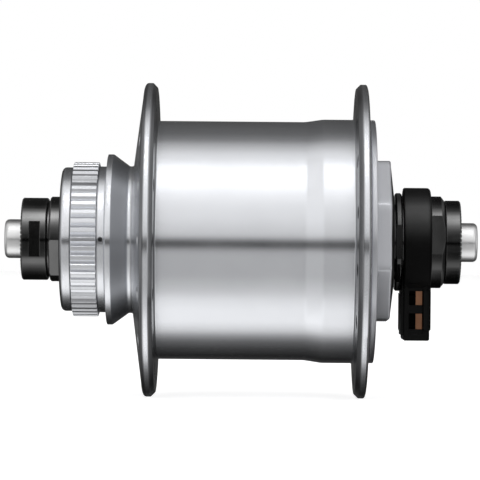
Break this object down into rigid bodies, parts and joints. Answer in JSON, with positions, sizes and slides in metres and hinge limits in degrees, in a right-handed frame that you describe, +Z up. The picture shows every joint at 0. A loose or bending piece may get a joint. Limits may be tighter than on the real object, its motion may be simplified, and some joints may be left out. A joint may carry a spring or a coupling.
{
  "type": "bicycle hub dynamo",
  "caption": "Quick-release front hub with a claw-pole generator inside, spoke flanges, a disc spline and a two-blade connector.",
  "frame": {"origin": "middle of the axle on its centre line", "axes": "+Y along the axle to the disc side, -Y to the connector side, +Z up with the connector hanging down, -X the side that faced the camera"},
  "size_m": [0.0718, 0.108, 0.0718],
  "materials": {
    "shell_aluminium": "satin, fine brushing round the axle",
    "cover_aluminium": "satin, light blasted",
    "axle_steel": "turned, zinc plated",
    "black_steel": "black oxide, satin",
    "connector_plastic": "moulded, satin",
    "seal_rubber": "matte",
    "seal_plastic": "moulded, matte",
    "dust_cover_steel": "pressed steel",
    "terminal_copper": "bare copper alloy strip",
    "coil_copper": "enamelled wire",
    "bobbin_plastic": "moulded",
    "stator_steel": "stamped and plated",
    "bearing_steel": "ground and hardened",
    "cage_brass": "pressed",
    "magnet_ferrite": "sintered",
    "lead_insulation": "insulated wire"
  },
  "bodies": {
    "fixed_axle": {"axle": "axle_steel", "left_locknut": "black_steel", "left_washer": "black_steel", "left_cone": "black_steel", "left_cone_seal": "seal_rubber", "right_cone": "black_steel", "right_washer": "black_steel", "connector_housing": "connector_plastic", "connector_back_cover": "connector_plastic", "live_terminal": "terminal_copper", "ground_terminal": "terminal_copper", "connector_nut": "black_steel", "right_locknut": "black_steel", "stator_core": "stator_steel", "coil_bobbin": "bobbin_plastic", "coil_winding": "coil_copper", "left_claw_poles": "stator_steel", "right_claw_poles": "stator_steel", "left_stator_plate": "stator_steel", "right_stator_plate": "stator_steel", "left_stator_nut": "bearing_steel", "right_stator_nut": "bearing_steel", "lead_wire": "lead_insulation"},
    "hub": {"hub_shell": "shell_aluminium", "left_bearing_cup": "bearing_steel", "left_dust_cover": "dust_cover_steel", "magnet_yoke": "stator_steel", "magnets": "magnet_ferrite", "generator_cover": "cover_aluminium", "cover_o_ring": "seal_rubber", "right_bearing_cup": "bearing_steel", "right_dust_seal": "seal_plastic"},
    "left_bearing": {"left_balls": "bearing_steel", "left_ball_cage": "cage_brass"},
    "right_bearing": {"right_balls": "bearing_steel", "right_ball_cage": "cage_brass"}
  },
  "joints": [
    {"name": "hub_spin", "type": "hinge", "parent": "fixed_axle", "child": "hub", "pos_m": [0, 0, 0], "axis": [0, 1, 0], "continuous": true},
    {"name": "left_ball_orbit", "type": "hinge", "parent": "fixed_axle", "child": "left_bearing", "pos_m": [0, 0.0315, 0], "axis": [0, 1, 0], "continuous": true},
    {"name": "right_ball_orbit", "type": "hinge", "parent": "fixed_axle", "child": "right_bearing", "pos_m": [0, -0.0302, 0], "axis": [0, 1, 0], "continuous": true}
  ],
  "couplings": [
    {"joint": "left_ball_orbit", "follows": "hub_spin", "ratio": 0.5841},
    {"joint": "right_ball_orbit", "follows": "hub_spin", "ratio": 0.5841}
  ]
}
